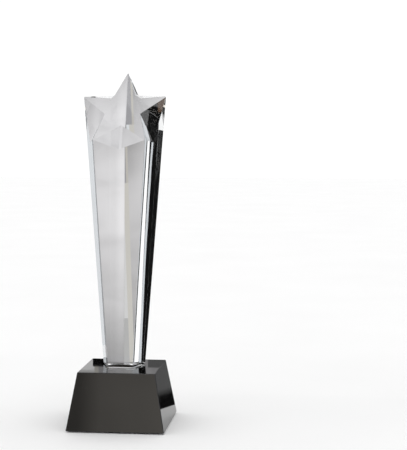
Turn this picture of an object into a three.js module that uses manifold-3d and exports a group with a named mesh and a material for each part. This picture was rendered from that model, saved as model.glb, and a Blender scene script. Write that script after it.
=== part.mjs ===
// Crystal award: a clear star column glued to a black crystal base, with a pad under the base.
// Millimetres, +Z up. The origin is the middle of the underside, and the front faces -Y.
import * as THREE from "three";
import { mergeVertices } from "three/addons/utils/BufferGeometryUtils.js";
import Module from "manifold-3d";

const wasm = await Module();
wasm.setup();

// ---- Driving dimensions ----
const padSide = 72; // square pad, set in from the base's bottom edge
const padThickness = 0.75;
const padCornerRadius = 3;
const padAdhesiveInset = 1; // how far the adhesive sheet stops short of the pad's edge
const padAdhesiveThickness = 0.25;

const baseBottomSide = 80; // the base is a square block that narrows upwards
const baseTopSide = 63.5;
const baseHeight = 46.5;

const bondThickness = 0.125; // cured adhesive film under the column
const bondInset = 1.5; // the film stays inside the column's foot chamfer

const columnSetBack = 1.2; // the column's axis stands this far behind the base's axis
const cutHeight = 203.7; // from the foot to the slanted cut, along the column's axis
const cutAngle = 49.7; // degrees from level, rising towards the back
const footChamfer = 1; // ground along the foot's edges
const starDepth = 0.88; // 1 would cut each groove to the point where a true pentagram's lines cross
const frontGrooveRunout = 27.5; // degrees between a groove's bottom and the vertical
const backGrooveRunout = 60; // the same, for the two shorter grooves at the back
const tipLand = 0.4; // flat left beside each ridge where a groove starts

const cornerSegments = 8; // flats round each corner of the pad
const weldDistance = 1e-4; // corners closer together than this are one corner

// The column's five flat sides, anticlockwise from above: the way each one faces, in degrees, its
// distance from the axis at the foot, in millimetres, how far it leans outwards, in degrees, and
// how steeply its groove runs.
const columnSides = [
  { faces: 65.5, distance: 14.1, lean: 3.75, runout: backGrooveRunout },
  { faces: 114.5, distance: 14.1, lean: 3.75, runout: backGrooveRunout },
  { faces: 200, distance: 13.95, lean: 3.35, runout: frontGrooveRunout },
  { faces: 270, distance: 12.8, lean: 0.5, runout: frontGrooveRunout },
  { faces: 340, distance: 13.95, lean: 3.35, runout: frontGrooveRunout },
];

// ---- Heights that follow from them ----
const baseBottomZ = padThickness + padAdhesiveThickness;
const baseTopZ = baseBottomZ + baseHeight;
const footZ = baseTopZ + bondThickness;

// ---- Helpers ----
const radians = THREE.MathUtils.degToRad;
const cutSlope = Math.tan(radians(cutAngle));

function closedMesh(geometry) {
  const bare = geometry.clone();
  bare.deleteAttribute("normal");
  bare.deleteAttribute("uv");
  return mergeVertices(bare, weldDistance);
}

function toSolid(geometry) {
  const merged = closedMesh(geometry);
  return new wasm.Manifold(
    new wasm.Mesh({
      numProp: 3,
      vertProperties: new Float32Array(merged.attributes.position.array),
      triVerts: new Uint32Array(merged.index.array),
    }),
  );
}

function toGeometry(solid) {
  const mesh = solid.getMesh();
  const geometry = new THREE.BufferGeometry();
  geometry.setAttribute("position", new THREE.BufferAttribute(mesh.vertProperties, 3));
  geometry.setIndex(new THREE.BufferAttribute(mesh.triVerts, 1));
  geometry.computeVertexNormals();
  return geometry;
}

// A closed solid between two rings of the same number of corners, both anticlockwise from above.
function ringSolid(lowerRing, upperRing) {
  const count = lowerRing.length;
  const positions = [...lowerRing, ...upperRing].flatMap((point) => point.toArray());
  const triangles = [];
  for (let i = 0; i < count; i += 1) {
    const next = (i + 1) % count;
    triangles.push(i, next, count + next, i, count + next, count + i);
  }
  for (let i = 1; i < count - 1; i += 1) {
    triangles.push(0, i + 1, i);
    triangles.push(count, count + i, count + i + 1);
  }
  const geometry = new THREE.BufferGeometry();
  geometry.setAttribute("position", new THREE.Float32BufferAttribute(positions, 3));
  geometry.setIndex(triangles);
  geometry.computeVertexNormals();
  return geometry;
}

function squareRing(side, z) {
  const half = side / 2;
  return [
    new THREE.Vector3(half, half, z),
    new THREE.Vector3(-half, half, z),
    new THREE.Vector3(-half, -half, z),
    new THREE.Vector3(half, -half, z),
  ];
}

// A flat sheet with round corners, lying at height z.
function roundedSheet(side, radius, thickness, z) {
  const half = side / 2;
  const outline = new THREE.Shape();
  outline.absarc(half - radius, half - radius, radius, 0, Math.PI / 2);
  outline.absarc(radius - half, half - radius, radius, Math.PI / 2, Math.PI);
  outline.absarc(radius - half, radius - half, radius, Math.PI, 1.5 * Math.PI);
  outline.absarc(half - radius, radius - half, radius, 1.5 * Math.PI, 2 * Math.PI);
  const geometry = new THREE.ExtrudeGeometry(outline, {
    depth: thickness,
    bevelEnabled: false,
    curveSegments: cornerSegments,
  });
  geometry.translate(0, 0, z);
  return geometry;
}

// ---- The column's sides, worked out about its own axis, from the foot up ----
function sideNormal(side) {
  return new THREE.Vector2(Math.cos(radians(side.faces)), Math.sin(radians(side.faces)));
}

function sideDistance(side, height) {
  return side.distance + height * Math.tan(radians(side.lean));
}

// The corner between a side and the one before it, at a height above the foot.
function cornerAt(index, height, inset = 0) {
  const before = columnSides[(index + 4) % 5];
  const after = columnSides[index];
  const a = sideNormal(before);
  const b = sideNormal(after);
  const da = sideDistance(before, height) - inset;
  const db = sideDistance(after, height) - inset;
  const determinant = a.x * b.y - a.y * b.x;
  const x = (da * b.y - db * a.y) / determinant;
  const y = (db * a.x - da * b.x) / determinant;
  return new THREE.Vector3(x, y, height);
}

function columnRing(height, inset = 0) {
  return columnSides.map((side, index) => cornerAt(index, height, inset));
}

// Where a ridge of the column meets the slanted cut: a point of the star.
function starTip(index) {
  const foot = cornerAt(index, 0);
  const rise = cornerAt(index, 1).sub(foot);
  const height = (cutHeight + foot.y * cutSlope) / (1 - rise.y * cutSlope);
  return foot.addScaledVector(rise, height);
}

// Where the line a-b crosses the line c-d, seen from above, at the height that the cut has there.
function crossing(a, b, c, d) {
  const ab = b.clone().sub(a);
  const cd = d.clone().sub(c);
  const ac = c.clone().sub(a);
  const share = (ac.x * cd.y - ac.y * cd.x) / (ab.x * cd.y - ab.y * cd.x);
  return a.clone().addScaledVector(ab, share);
}

// The V groove ground into one side: a pyramid from the groove's lower end, past the cut.
function grooveCutter(index, tips) {
  const side = columnSides[index];
  const normal = sideNormal(side);
  const left = tips[index];
  const right = tips[(index + 1) % 5];
  const middle = left.clone().lerp(right, 0.5);
  const trueInner = crossing(left, tips[(index + 2) % 5], right, tips[(index + 4) % 5]);
  const inner = middle.clone().lerp(trueInner, starDepth);

  const along = Math.sin(radians(side.runout));
  const down = Math.cos(radians(side.runout));
  const depth = sideDistance(side, inner.z) - normal.dot(new THREE.Vector2(inner.x, inner.y));
  const length = depth / (along + down * Math.tan(radians(side.lean)));
  const end = inner.clone().add(new THREE.Vector3(normal.x * along, normal.y * along, -down)
    .multiplyScalar(length));

  const land = tipLand / left.distanceTo(right);
  const reach = 2; // how many times as far as the cut the pyramid runs on
  const beyond = (point) => end.clone().lerp(point, reach);
  const corners = [
    end,
    beyond(left.clone().lerp(right, land)),
    beyond(inner),
    beyond(right.clone().lerp(left, land)),
    end.clone().add(new THREE.Vector3(normal.x, normal.y, 1).multiplyScalar(length)),
  ];
  const geometry = new THREE.BufferGeometry();
  geometry.setAttribute(
    "position",
    new THREE.Float32BufferAttribute(corners.flatMap((point) => point.toArray()), 3),
  );
  geometry.setIndex([0, 1, 2, 0, 2, 3, 0, 4, 1, 0, 3, 4, 1, 3, 2, 1, 4, 3]);
  return toSolid(geometry);
}

// ---- Pieces ----
function starColumnGeometry() {
  const blankHeight = 1.4 * cutHeight; // the blank runs on past the highest tip of the star
  const chamfered = toSolid(ringSolid(columnRing(0, footChamfer), columnRing(footChamfer)));
  const shaft = toSolid(ringSolid(columnRing(footChamfer), columnRing(blankHeight)));
  let solid = chamfered.add(shaft);

  // The waste above the slanted cut, as a block whose underside is the cut.
  const wasteSide = 2 * blankHeight;
  const waste = new THREE.BoxGeometry(wasteSide, wasteSide, blankHeight);
  waste.translate(0, 0, blankHeight / 2);
  waste.rotateX(radians(cutAngle));
  waste.translate(0, 0, cutHeight);
  solid = solid.subtract(toSolid(waste));

  const tips = columnSides.map((side, index) => starTip(index));
  columnSides.forEach((side, index) => {
    solid = solid.subtract(grooveCutter(index, tips));
  });
  return toGeometry(solid);
}

function bondGeometry() {
  const ring = columnRing(0, bondInset);
  const top = ring.map((point) => point.clone().setZ(bondThickness));
  return ringSolid(ring, top);
}

// ---- Materials ----
const clearCrystal = new THREE.MeshStandardMaterial({
  color: 0xe9edf0,
  roughness: 0.03,
  metalness: 0,
  transparent: true,
  opacity: 0.35,
});
const blackCrystal = new THREE.MeshStandardMaterial({ color: 0x0d0d0e, roughness: 0.06, metalness: 0 });
const curedAdhesive = new THREE.MeshStandardMaterial({
  color: 0xf1f3f2,
  roughness: 0.2,
  metalness: 0,
  transparent: true,
  opacity: 0.5,
});
const sheetAdhesive = new THREE.MeshStandardMaterial({ color: 0x8a8478, roughness: 0.55, metalness: 0 });
const blackFelt = new THREE.MeshStandardMaterial({ color: 0x17171a, roughness: 0.95, metalness: 0 });

function piece(name, geometry, material) {
  const mesh = new THREE.Mesh(geometry, material);
  mesh.name = name;
  return mesh;
}

// ---- Assembly ----
const basePad = piece("base_pad", roundedSheet(padSide, padCornerRadius, padThickness, 0), blackFelt);

const padAdhesive = piece(
  "pad_adhesive",
  roundedSheet(
    padSide - 2 * padAdhesiveInset,
    padCornerRadius - padAdhesiveInset,
    padAdhesiveThickness,
    padThickness,
  ),
  sheetAdhesive,
);

const baseBlock = piece(
  "base_block",
  ringSolid(squareRing(baseBottomSide, baseBottomZ), squareRing(baseTopSide, baseTopZ)),
  blackCrystal,
);

const columnBond = piece("column_bond", bondGeometry(), curedAdhesive);
columnBond.position.set(0, columnSetBack, baseTopZ);

const starColumn = piece("star_column", starColumnGeometry(), clearCrystal);
starColumn.position.set(0, columnSetBack, footZ);

const award = new THREE.Group();
award.add(basePad, padAdhesive, baseBlock, columnBond, starColumn);

export default award;
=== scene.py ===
"""Looks of the crystal award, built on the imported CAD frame. Metres, +Z up, the front faces -Y."""
import math
from random import Random

import bmesh
import bpy
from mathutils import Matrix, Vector


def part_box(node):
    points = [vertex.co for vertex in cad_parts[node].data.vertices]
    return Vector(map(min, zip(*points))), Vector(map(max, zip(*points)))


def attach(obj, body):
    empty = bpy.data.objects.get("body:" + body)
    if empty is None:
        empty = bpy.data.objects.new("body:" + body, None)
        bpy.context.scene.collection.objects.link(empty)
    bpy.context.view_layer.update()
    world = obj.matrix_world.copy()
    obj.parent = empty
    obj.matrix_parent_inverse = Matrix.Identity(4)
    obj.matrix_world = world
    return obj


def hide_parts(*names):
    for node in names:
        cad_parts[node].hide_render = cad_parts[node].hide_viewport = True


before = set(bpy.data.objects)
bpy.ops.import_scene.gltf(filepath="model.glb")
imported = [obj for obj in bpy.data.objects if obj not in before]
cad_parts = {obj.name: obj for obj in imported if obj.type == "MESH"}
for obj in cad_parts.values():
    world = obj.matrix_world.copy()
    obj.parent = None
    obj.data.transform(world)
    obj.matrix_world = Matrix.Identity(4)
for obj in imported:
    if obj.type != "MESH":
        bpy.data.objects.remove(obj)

MM = 0.001

# Photograph's viewpoint: where the camera looks, from which side and how high, and how far away.
CAMERA_TARGET = Vector((0.0674, 0.0, 0.1651))
CAMERA_AZIMUTH = math.radians(6.04)
CAMERA_ELEVATION = math.radians(4.14)
CAMERA_DISTANCE = 1.0
SENSOR_WIDTH_MM = 36.0
LENS_MM = 108.35

# Radiance of the studio's surroundings, before the glass dims them.
STUDIO_WHITE = 1.05
WINDOW_LIGHT = 1.20
PALE_LIGHT = 0.74
DARK_LIGHT = 0.006
BROWN_LIGHT = 0.10
CREAM_LIGHT = 0.58
CREAM_HIGH_LIGHT = 0.50
DUSK_LIGHT = 0.33
LOW_CLOTH_LIGHT = 0.64
CLOTH_FOOT_LIGHT = 0.45
SLIT_LIGHT = 0.78
WARM_WHITE = (1.0, 0.94, 0.85)
LOW_GREY_LIGHT = 0.18

# Ground edges of the two crystal blocks.
COLUMN_ARRIS = 0.11 * MM
BASE_ARRIS = 0.55 * MM
ARRIS_SEGMENTS = 2

# The glue stops this far inside the edge of the column's foot.
GLUE_INSET = 0.4 * MM

# Corners closer than this are one corner, and sides that meet flatter than this are one side.
WELD_DISTANCE = 0.004 * MM
FLAT_ANGLE = math.radians(0.4)

# The felt pad: its random seed, the cells along its side, its corner radius, how ragged its edge is,
# how uneven its underside is, and the gap above it.
FELT_SEED = 11
FELT_CELLS = 72
FELT_CORNER = 3.0 * MM
FELT_RAGGED = 0.25 * MM
FELT_NAP = 0.06 * MM
FELT_CLEARANCE = 0.02 * MM

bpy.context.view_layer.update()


# ---- Node helpers ----
def new_material(name):
    material = bpy.data.materials.new(name)
    material.use_nodes = True
    tree = material.node_tree
    tree.nodes.clear()
    output = tree.nodes.new("ShaderNodeOutputMaterial")
    return material, tree, output


def add(tree, kind, **settings):
    """A new node, with its own settings and its inputs' values by name."""
    node = tree.nodes.new(kind)
    for key, value in settings.items():
        name = key.replace("_", " ")
        if hasattr(node, key):
            setattr(node, key, value)
        else:
            socket = next(s for s in node.inputs if s.name.lower() == name.lower())
            socket.default_value = value
    return node


def link(tree, source, target, output=0):
    tree.links.new(source.outputs[output], target)


def ramp(tree, source, stops, output=0):
    """A colour ramp of (position, grey or colour) stops, fed by source."""
    node = tree.nodes.new("ShaderNodeValToRGB")
    elements = node.color_ramp.elements
    while len(elements) > 1:
        elements.remove(elements[0])
    for index, (position, value) in enumerate(stops):
        element = elements[0] if index == 0 else elements.new(position)
        element.position = position
        colour = value if isinstance(value, tuple) else (value, value, value)
        element.color = (*colour, 1.0)
    link(tree, source, node.inputs["Fac"], output)
    return node


def map_range(tree, source, output, low, high):
    """0 at low and 1 at high, and clamped between them."""
    node = tree.nodes.new("ShaderNodeMapRange")
    node.inputs["From Min"].default_value = low
    node.inputs["From Max"].default_value = high
    link(tree, source, node.inputs["Value"], output)
    return node


def maths(tree, operation, first, second):
    """One operation on two nodes' first outputs, or on a node and a number."""
    node = tree.nodes.new("ShaderNodeMath")
    node.operation = operation
    link(tree, first, node.inputs[0])
    if isinstance(second, float):
        node.inputs[1].default_value = second
    else:
        link(tree, second, node.inputs[1])
    return node


def noise(tree, coordinates, scale, detail=2.0, roughness=0.5, distortion=0.0):
    node = add(
        tree,
        "ShaderNodeTexNoise",
        Scale=scale,
        Detail=detail,
        Roughness=roughness,
        Distortion=distortion,
    )
    link(tree, coordinates, node.inputs["Vector"], "Object")
    return node


def principled(tree, output, **settings):
    shader = tree.nodes.new("ShaderNodeBsdfPrincipled")
    for key, value in settings.items():
        shader.inputs[key.replace("_", " ")].default_value = value
    link(tree, shader, output.inputs["Surface"])
    return shader


def bump(tree, source, shader, strength, distance, output=0):
    node = add(tree, "ShaderNodeBump", Strength=strength, Distance=distance)
    link(tree, source, node.inputs["Height"], output)
    link(tree, node, shader.inputs["Normal"])
    return node


# ---- Materials ----
def polished_crystal():
    """Clear optical crystal: flat polished sides with faint polishing waves and smudges."""
    material, tree, output = new_material("clear_crystal")
    shader = principled(
        tree,
        output,
        Base_Color=(0.985, 0.992, 0.996, 1.0),
        Transmission_Weight=1.0,
        IOR=1.52,
    )
    coordinates = add(tree, "ShaderNodeTexCoord")
    smudges = noise(tree, coordinates, 34.0, detail=5.0, roughness=0.62)
    link(tree, ramp(tree, smudges, [(0.52, 0.0), (0.72, 0.035)]), shader.inputs["Roughness"])
    waves = noise(tree, coordinates, 26.0, detail=1.0)
    bump(tree, waves, shader, strength=0.03, distance=0.2 * MM)
    return material


def ground_crystal():
    """The narrow ground edges of the clear block, which scatter a little light."""
    material, tree, output = new_material("ground_crystal")
    shader = principled(
        tree,
        output,
        Base_Color=(0.97, 0.98, 0.985, 1.0),
        Transmission_Weight=1.0,
        IOR=1.52,
    )
    coordinates = add(tree, "ShaderNodeTexCoord")
    grain = noise(tree, coordinates, 900.0, detail=3.0, roughness=0.7)
    link(tree, ramp(tree, grain, [(0.3, 0.06), (0.75, 0.3)]), shader.inputs["Roughness"])
    bump(tree, grain, shader, strength=0.12, distance=0.05 * MM)
    return material


def glued_foot():
    """The foot's ground underside under its glue: pale grey, mottled, with trapped bubbles."""
    material, tree, output = new_material("glued_foot")
    shader = principled(tree, output, Roughness=0.5, IOR=1.0)
    shader.inputs["Specular IOR Level"].default_value = 0.0
    coordinates = add(tree, "ShaderNodeTexCoord")
    bubbles = add(tree, "ShaderNodeTexVoronoi", Scale=420.0)
    link(tree, coordinates, bubbles.inputs["Vector"], "Object")
    shades = [(0.06, (0.72, 0.72, 0.73)), (0.2, (0.50, 0.50, 0.505))]
    link(tree, ramp(tree, bubbles, shades), shader.inputs["Base Color"])
    return material


def black_crystal():
    """Opaque black crystal: mirror polish, faint waves, smudges and a little dust."""
    material, tree, output = new_material("black_crystal")
    shader = principled(tree, output, IOR=1.52)
    coordinates = add(tree, "ShaderNodeTexCoord")
    dust = noise(tree, coordinates, 1400.0, detail=1.0)
    dust_mask = ramp(tree, dust, [(0.76, 0.0), (0.8, 1.0)])
    tint = add(tree, "ShaderNodeMix", data_type="RGBA")
    tint.inputs["A"].default_value = (0.0035, 0.0034, 0.0036, 1.0)
    tint.inputs["B"].default_value = (0.06, 0.058, 0.055, 1.0)
    link(tree, dust_mask, tint.inputs["Factor"])
    link(tree, tint, shader.inputs["Base Color"], "Result")
    smudges = noise(tree, coordinates, 42.0, detail=6.0, roughness=0.66, distortion=0.4)
    link(tree, ramp(tree, smudges, [(0.4, 0.02), (0.75, 0.11)]), shader.inputs["Roughness"])
    waves = noise(tree, coordinates, 30.0, detail=1.0)
    bump(tree, waves, shader, strength=0.05, distance=0.2 * MM)
    return material


def ground_black():
    """The narrow ground edges of the black block, greyer and rougher than its faces."""
    material, tree, output = new_material("ground_black")
    shader = principled(tree, output, IOR=1.52)
    coordinates = add(tree, "ShaderNodeTexCoord")
    grain = noise(tree, coordinates, 700.0, detail=3.0, roughness=0.7)
    link(
        tree,
        ramp(tree, grain, [(0.3, (0.008, 0.008, 0.009)), (0.75, (0.03, 0.03, 0.032))]),
        shader.inputs["Base Color"],
    )
    link(tree, ramp(tree, grain, [(0.3, 0.12), (0.75, 0.34)]), shader.inputs["Roughness"])
    bump(tree, grain, shader, strength=0.15, distance=0.05 * MM)
    return material


def cured_adhesive():
    """Clear cured glue with a few trapped bubbles."""
    material, tree, output = new_material("cured_adhesive")
    shader = principled(
        tree,
        output,
        Base_Color=(0.96, 0.97, 0.965, 1.0),
        Transmission_Weight=1.0,
        IOR=1.48,
    )
    coordinates = add(tree, "ShaderNodeTexCoord")
    bubbles = add(tree, "ShaderNodeTexVoronoi", Scale=420.0)
    link(tree, coordinates, bubbles.inputs["Vector"], "Object")
    link(tree, ramp(tree, bubbles, [(0.08, 0.5), (0.2, 0.08)]), shader.inputs["Roughness"])
    bump(tree, bubbles, shader, strength=0.3, distance=0.05 * MM)
    return material


def sheet_adhesive():
    """The double-sided sheet between pad and base: matt, with the weave of its carrier."""
    material, tree, output = new_material("sheet_adhesive")
    shader = principled(tree, output, IOR=1.47)
    coordinates = add(tree, "ShaderNodeTexCoord")
    weave = add(tree, "ShaderNodeTexWave", Scale=700.0, Distortion=1.5, Detail=1.0)
    link(tree, coordinates, weave.inputs["Vector"], "Object")
    link(
        tree,
        ramp(tree, weave, [(0.0, (0.35, 0.32, 0.27)), (1.0, (0.46, 0.43, 0.37))]),
        shader.inputs["Base Color"],
    )
    mottle = noise(tree, coordinates, 220.0, detail=3.0)
    link(tree, ramp(tree, mottle, [(0.3, 0.45), (0.7, 0.7)]), shader.inputs["Roughness"])
    bump(tree, weave, shader, strength=0.2, distance=0.05 * MM)
    return material


def black_felt():
    """Black pressed felt: matted fibres of slightly different blacks, and a soft sheen."""
    material, tree, output = new_material("black_felt")
    shader = principled(tree, output, Sheen_Weight=0.35, Sheen_Roughness=0.6, IOR=1.45)
    coordinates = add(tree, "ShaderNodeTexCoord")
    fibres = noise(tree, coordinates, 1500.0, detail=6.0, roughness=0.75, distortion=2.2)
    link(
        tree,
        ramp(tree, fibres, [(0.3, (0.006, 0.006, 0.007)), (0.72, (0.034, 0.034, 0.038))]),
        shader.inputs["Base Color"],
    )
    link(tree, ramp(tree, fibres, [(0.3, 0.82), (0.7, 1.0)]), shader.inputs["Roughness"])
    bump(tree, fibres, shader, strength=0.8, distance=0.2 * MM)
    return material


# ---- Meshes ----
def block_with_ground_edges(node, name, arris, faces_material, edges_material, foot_material=None):
    """A copy of a CAD block with its flat sides made whole and every edge ground by arris."""
    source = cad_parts[node].data
    bm = bmesh.new()
    bm.from_mesh(source)
    bmesh.ops.remove_doubles(bm, verts=bm.verts, dist=WELD_DISTANCE)
    bmesh.ops.dissolve_limit(
        bm,
        angle_limit=FLAT_ANGLE,
        use_dissolve_boundaries=False,
        verts=bm.verts,
        edges=bm.edges,
        delimit=set(),
    )
    bmesh.ops.recalc_face_normals(bm, faces=bm.faces)
    done = bmesh.ops.bevel(
        bm,
        geom=list(bm.edges),
        offset=arris,
        offset_type="OFFSET",
        segments=ARRIS_SEGMENTS,
        profile=0.5,
        affect="EDGES",
        clamp_overlap=True,
    )
    for face in done["faces"]:
        face.material_index = 1
    if foot_material:
        downward = [face for face in bm.faces if face.normal.z < -0.99]
        foot = max(downward, key=lambda face: face.calc_area())
        bmesh.ops.inset_individual(bm, faces=[foot], thickness=GLUE_INSET)
        foot.material_index = 2
    bmesh.ops.triangulate(bm, faces=[face for face in bm.faces if len(face.verts) > 4])
    mesh = bpy.data.meshes.new(name)
    bm.to_mesh(mesh)
    bm.free()
    mesh.materials.append(faces_material)
    mesh.materials.append(edges_material)
    if foot_material:
        mesh.materials.append(foot_material)
    piece = bpy.data.objects.new(name, mesh)
    bpy.context.scene.collection.objects.link(piece)
    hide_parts(node)
    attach(piece, "root")
    return piece


def felt_pad(material):
    """The felt pad: a low cushion of matted fibres with a slightly ragged cut edge."""
    low, high = (Vector(corner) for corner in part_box("base_pad"))
    rng = Random(FELT_SEED)
    cells = FELT_CELLS
    step = (high.x - low.x) / cells
    bm = bmesh.new()
    bmesh.ops.create_grid(bm, x_segments=cells, y_segments=cells, size=(high.x - low.x) / 2)
    corner = FELT_CORNER
    half = (high.x - low.x) / 2
    for vertex in bm.verts:
        inner_x = min(max(vertex.co.x, corner - half), half - corner)
        inner_y = min(max(vertex.co.y, corner - half), half - corner)
        away = Vector((vertex.co.x - inner_x, vertex.co.y - inner_y))
        reach = max(abs(away.x), abs(away.y))
        if away.length > 0 and abs(away.x) > 0 and abs(away.y) > 0:
            away *= reach / away.length
        edge = max(abs(vertex.co.x), abs(vertex.co.y)) > half - step / 2
        ragged = rng.uniform(0.0, FELT_RAGGED) if edge else 0.0
        spot = Vector((inner_x, inner_y)) + away
        spot -= spot.normalized() * ragged
        vertex.co = Vector((spot.x, spot.y, low.z + rng.uniform(0.0, FELT_NAP)))
    underside = list(bm.faces)
    raised = bmesh.ops.extrude_face_region(bm, geom=underside)
    for item in raised["geom"]:
        if isinstance(item, bmesh.types.BMVert):
            item.co.z = high.z - FELT_CLEARANCE
    bmesh.ops.recalc_face_normals(bm, faces=bm.faces)
    mesh = bpy.data.meshes.new("felt_pad")
    bm.to_mesh(mesh)
    bm.free()
    mesh.materials.append(material)
    pad = bpy.data.objects.new("felt_pad", mesh)
    bpy.context.scene.collection.objects.link(pad)
    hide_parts("base_pad")
    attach(pad, "root")
    return pad


# ---- The award ----
column = block_with_ground_edges(
    "star_column",
    "star_column_polished",
    COLUMN_ARRIS,
    polished_crystal(),
    ground_crystal(),
    glued_foot(),
)

base = block_with_ground_edges(
    "base_block", "base_block_polished", BASE_ARRIS, black_crystal(), ground_black()
)

felt_pad(black_felt())

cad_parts["column_bond"].data.materials[0] = cured_adhesive()
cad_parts["pad_adhesive"].data.materials[0] = sheet_adhesive()


# ---- Studio ----
def stage_plane(name, corners, material):
    mesh = bpy.data.meshes.new(name)
    mesh.from_pydata([Vector(corner) for corner in corners], [], [(0, 1, 2, 3)])
    mesh.materials.append(material)
    plane = bpy.data.objects.new(name, mesh)
    bpy.context.scene.collection.objects.link(plane)
    return plane


def card(name, start, end, low, high, material):
    """An upright card from start to end, both (x, y)."""
    return stage_card(name, [(*start, low), (*end, low), (*end, high), (*start, high)], material)


def stage_card(name, corners, material):
    """A card that only shows in and through the crystal."""
    plane = stage_plane(name, corners, material)
    plane.visible_camera = False
    plane.visible_diffuse = False
    plane.visible_shadow = False
    return plane


def glow(name, level=1.0, colour=(1.0, 1.0, 1.0)):
    """A glowing material. A node linked to its light's Strength takes the place of level."""
    material, tree, output = new_material(name)
    light = add(tree, "ShaderNodeEmission")
    light.inputs["Color"].default_value = (*colour, 1.0)
    light.inputs["Strength"].default_value = level
    link(tree, light, output.inputs["Surface"])
    return material, tree, light


def cloth_glow():
    """A glowing card painted as a pale satin cloth in the studio's light: painted shade of soft slanting
    folds, one painted bright fold, and painted shade darker towards the floor and the top.
    """
    material, tree, light = glow("cloth_card")
    coordinates = add(tree, "ShaderNodeTexCoord")
    turn = add(tree, "ShaderNodeMapping")
    turn.inputs["Rotation"].default_value = (0.0, math.radians(38.0), 0.0)
    turn.inputs["Scale"].default_value = (0.5, 1.0, 1.0)
    link(tree, coordinates, turn.inputs["Vector"], "Object")
    # Painted shade: the light and shade of the folds are painted into the cloth's glow.
    folds = add(tree, "ShaderNodeTexNoise", Scale=30.0, Detail=2.0, Roughness=0.45, Distortion=0.8)
    link(tree, turn, folds.inputs["Vector"])
    fold_shade = ramp(tree, folds, [(0.32, 0.84), (0.5, 0.94), (0.66, 1.0)])

    split = add(tree, "ShaderNodeSeparateXYZ")
    link(tree, coordinates, split.inputs["Vector"], "Object")
    # Painted shade: the cloth's glow is darker towards the floor and towards the top.
    height = map_range(tree, split, "Z", 0.0, 0.30)
    height_shade = ramp(
        tree,
        height,
        [
            (0.10, 0.30), (0.20, 0.44), (0.32, 0.64), (0.50, 0.74),
            (0.68, 0.79), (0.75, 0.70), (0.9, 0.50),
        ],
        "Result",
    )
    # Painted light across the cloth: brighter to the right, with one painted bright fold highlight.
    across = map_range(tree, split, "X", -0.05, 0.01)
    across_shade = ramp(
        tree,
        across,
        [
            (0.05, 0.78), (0.30, 0.83), (0.55, 0.91), (0.80, 0.94),
            (0.88, 1.07), (0.92, 1.07), (0.96, 0.97),
        ],
        "Result",
    )
    # Painted shade: the cloth's upper left part glows darker.
    high = map_range(tree, split, "Z", 0.190, 0.212)
    left = map_range(tree, split, "X", -0.030, -0.042)
    upper_left = maths(tree, "MULTIPLY", high, left)
    upper_shade = maths(tree, "MULTIPLY_ADD", upper_left, -0.22)
    upper_shade.inputs[2].default_value = 1.0

    level = maths(tree, "MULTIPLY", height_shade, across_shade)
    level = maths(tree, "MULTIPLY", level, upper_shade)
    level = maths(tree, "MULTIPLY", level, fold_shade)
    light.inputs["Color"].default_value = (1.0, 0.985, 1.0, 1.0)
    link(tree, level, light.inputs["Strength"])
    return material


def cream_high():
    """The cloth's border where it passes into shade."""
    return glow("cream_high_card", CREAM_HIGH_LIGHT, (1.0, 0.96, 0.88))[0]


def front_glow(name, start, end, start_level, end_level):
    """A warm light that changes evenly from start to end along X, with soft clouds."""
    material, tree, light = glow(name, colour=WARM_WHITE)
    coordinates = add(tree, "ShaderNodeTexCoord")
    split = add(tree, "ShaderNodeSeparateXYZ")
    link(tree, coordinates, split.inputs["Vector"], "Object")
    along = map_range(tree, split, "X", start, end)
    shade = ramp(tree, along, [(0.0, start_level), (1.0, end_level)], "Result")
    clouds = noise(tree, coordinates, 9.0, detail=2.0)
    cloud_shade = ramp(tree, clouds, [(0.34, 0.80), (0.62, 1.0)])
    link(tree, maths(tree, "MULTIPLY", shade, cloud_shade), light.inputs["Strength"])
    return material


def dim_glow():
    return front_glow("dim_card", -0.085, -0.062, 0.54, 1.20)


def warm_glow():
    return front_glow("warm_card", -0.060, 0.10, 1.20, 1.90)


def low_glow():
    """A grey light that fades evenly into the dark towards the floor."""
    material, tree, light = glow("low_grey_card", LOW_GREY_LIGHT)
    coordinates = add(tree, "ShaderNodeTexCoord")
    split = add(tree, "ShaderNodeSeparateXYZ")
    link(tree, coordinates, split.inputs["Vector"], "Object")
    height = map_range(tree, split, "Z", 0.014, 0.0205)
    shade = ramp(tree, height, [(0.0, 0.01), (1.0, LOW_GREY_LIGHT)], "Result")
    link(tree, shade, light.inputs["Strength"])
    return material


def floor_material():
    material, tree, output = new_material("pale_floor")
    shader = principled(tree, output, Roughness=0.9)
    coordinates = add(tree, "ShaderNodeTexCoord")
    mottle = noise(tree, coordinates, 6.0, detail=2.0)
    link(tree, ramp(tree, mottle, [(0.3, 0.93), (0.7, 0.95)]), shader.inputs["Base Color"])
    return material


FLOOR_REACH = 6.0
floor = stage_plane(
    "floor",
    [
        (-FLOOR_REACH, -FLOOR_REACH, 0.0),
        (FLOOR_REACH, -FLOOR_REACH, 0.0),
        (FLOOR_REACH, FLOOR_REACH, 0.0),
        (-FLOOR_REACH, FLOOR_REACH, 0.0),
    ],
    floor_material(),
)

world = bpy.data.worlds.new("studio")
world.use_nodes = True
world.node_tree.nodes["Background"].inputs["Color"].default_value = (1.0, 1.0, 1.0, 1.0)
world.node_tree.nodes["Background"].inputs["Strength"].default_value = STUDIO_WHITE
bpy.context.scene.world = world

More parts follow.
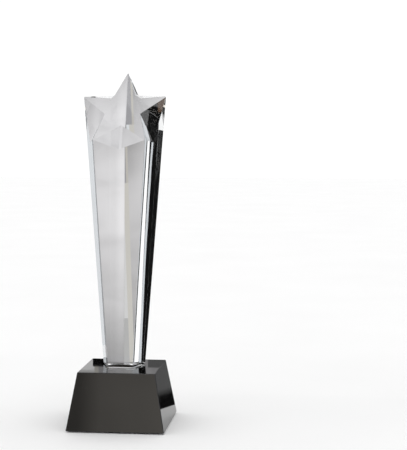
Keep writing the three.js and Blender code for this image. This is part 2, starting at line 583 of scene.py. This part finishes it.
# Behind the award: a pale cloth between a dark frame and a dark board.
BACK = 0.12
TALL = 0.40
dark = glow("dark_card", DARK_LIGHT)[0]
dark_brown = glow("brown_card", BROWN_LIGHT, (1.0, 0.62, 0.42))[0]
cream = glow("cream_card", CREAM_LIGHT, (1.0, 0.97, 0.90))[0]
dusk = glow("dusk_card", DUSK_LIGHT, (1.0, 0.99, 1.04))[0]
pale = glow("pale_card", PALE_LIGHT, (0.94, 0.97, 1.0))[0]
low_cloth_light = glow("low_cloth_card", LOW_CLOTH_LIGHT)[0]
cloth_foot_light = glow("cloth_foot_card", CLOTH_FOOT_LIGHT)[0]
FRAME_FOOT = 0.17
BORDER_TOP = FRAME_FOOT + 0.03
LOW_CLOTH_FOOT = 0.075
card("cloth", (-0.0435, BACK), (0.047, BACK), 0.0, TALL, cloth_glow())
# The cloth's border glows at a dimmer cream level: painted shade of the satin wall.
card("cloth_border", (-0.0475, BACK), (-0.0435, BACK), 0.0, BORDER_TOP, cream)
card("cloth_border_high", (-0.0452, BACK), (-0.0435, BACK), BORDER_TOP, TALL, cream_high())
card("frame_edge", (-0.050, BACK), (-0.0452, BACK), BORDER_TOP, TALL, dusk)
card("dark_frame", (-0.0755, BACK), (-0.050, BACK), FRAME_FOOT, TALL, dark)
card("frame_corner", (-0.0575, BACK - 0.001), (-0.0505, BACK - 0.001), 0.243, 0.262, dark_brown)
card("low_cloth", (-0.0755, BACK), (-0.0475, BACK), LOW_CLOTH_FOOT, FRAME_FOOT, low_cloth_light)
# The foot of the cloth shows through the glass, and not in the base's mirror.
cloth_foot = card(
    "cloth_foot", (-0.0755, BACK), (-0.0475, BACK), 0.0, LOW_CLOTH_FOOT, cloth_foot_light
)
cloth_foot.visible_glossy = False
card("dark_board", (0.047, BACK), (0.30, BACK), 0.0, TALL, dark)
card("pale_back", (-0.20, 0.30), (-0.13, 0.30), 0.0, TALL, pale)

# The left wall: dark, with a slanting window behind the award and a thin slanting slit in front of it.
LEFT = -0.20
card("dark_left", (LEFT, -0.30), (LEFT, -0.10), 0.0, TALL, dark)
card("dark_left_low", (LEFT, -0.10), (LEFT, 0.12), 0.0, 0.280, dark)
card("pale_left", (LEFT, 0.12), (LEFT, 0.2295), 0.0, TALL, pale)
card("dark_left_back", (LEFT, 0.2295), (LEFT, 0.30), 0.0, TALL, dark)
stage_card(
    "window",
    [
        (LEFT + 0.001, 0.2315, 0.0),
        (LEFT + 0.001, 0.2434, 0.0),
        (LEFT + 0.001, 0.2782, TALL),
        (LEFT + 0.001, 0.2769, TALL),
    ],
    glow("window_card", WINDOW_LIGHT)[0],
)
stage_card(
    "wall_left_of_window",
    [
        (LEFT + 0.001, 0.2290, 0.0),
        (LEFT + 0.001, 0.2294, 0.0),
        (LEFT + 0.001, 0.2747, TALL),
        (LEFT + 0.001, 0.2290, TALL),
    ],
    pale,
)
stage_card(
    "slit",
    [
        (LEFT + 0.001, -0.2849, 0.0),
        (LEFT + 0.001, -0.2784, 0.0),
        (LEFT + 0.001, -0.2290, TALL),
        (LEFT + 0.001, -0.2330, TALL),
    ],
    glow("slit_card", SLIT_LIGHT, (0.92, 0.96, 1.0))[0],
)

# In front: dark on the left, then a dim and a warm light. To the right: a pale light, dark above it.
FRONT = -0.30
RIGHT = 0.35
HIGH = 1.0
card("dark_front_left", (LEFT, FRONT), (-0.13, FRONT), 0.0, TALL, dark)
card("dim_front", (-0.13, FRONT), (-0.060, FRONT), 0.0, TALL, dim_glow())
card("warm_front", (-0.060, FRONT), (0.10, FRONT), 0.0, TALL, warm_glow())
card("pale_front_right", (0.10, FRONT), (RIGHT, FRONT), 0.0, TALL, pale)
card("pale_right", (RIGHT, FRONT), (RIGHT, 0.0), 0.0, TALL, pale)
card("dark_right", (RIGHT, 0.0), (RIGHT, 0.22), 0.0, TALL, dark)
card("dark_high_right", (RIGHT, FRONT), (RIGHT, 0.22), TALL, HIGH, dark)
card("dark_high_front", (0.05, FRONT), (RIGHT, FRONT), TALL, HIGH, dark)

# Low cards behind the base, which show in reflections but not through the glass.
low_cards = [
    card("low_frame", (-0.035, 0.050), (-0.024, 0.050), 0.0, 0.058, dark),
    card("low_grey", (0.012, 0.060), (0.062, 0.060), 0.012, 0.060, low_glow()),
    card("low_dark", (0.040, 0.060), (0.062, 0.060), 0.004, 0.012, dark),
]
for low_card in low_cards:
    low_card.visible_transmission = False

# ---- Camera ----
camera_data = bpy.data.cameras.new("camera")
camera_data.sensor_fit = "HORIZONTAL"
camera_data.sensor_width = SENSOR_WIDTH_MM
camera_data.lens = LENS_MM
camera_data.clip_start = 0.01
camera = bpy.data.objects.new("camera", camera_data)
bpy.context.scene.collection.objects.link(camera)
towards_camera = Vector(
    (
        math.sin(CAMERA_AZIMUTH) * math.cos(CAMERA_ELEVATION),
        -math.cos(CAMERA_AZIMUTH) * math.cos(CAMERA_ELEVATION),
        math.sin(CAMERA_ELEVATION),
    )
)
camera.location = CAMERA_TARGET + CAMERA_DISTANCE * towards_camera
camera.rotation_euler = (-towards_camera).to_track_quat("-Z", "Y").to_euler()
bpy.context.scene.camera = camera

bpy.context.scene.view_settings.view_transform = "Standard"
bpy.context.scene.cycles.max_bounces = 32
bpy.context.scene.cycles.transmission_bounces = 32
bpy.context.scene.cycles.glossy_bounces = 12
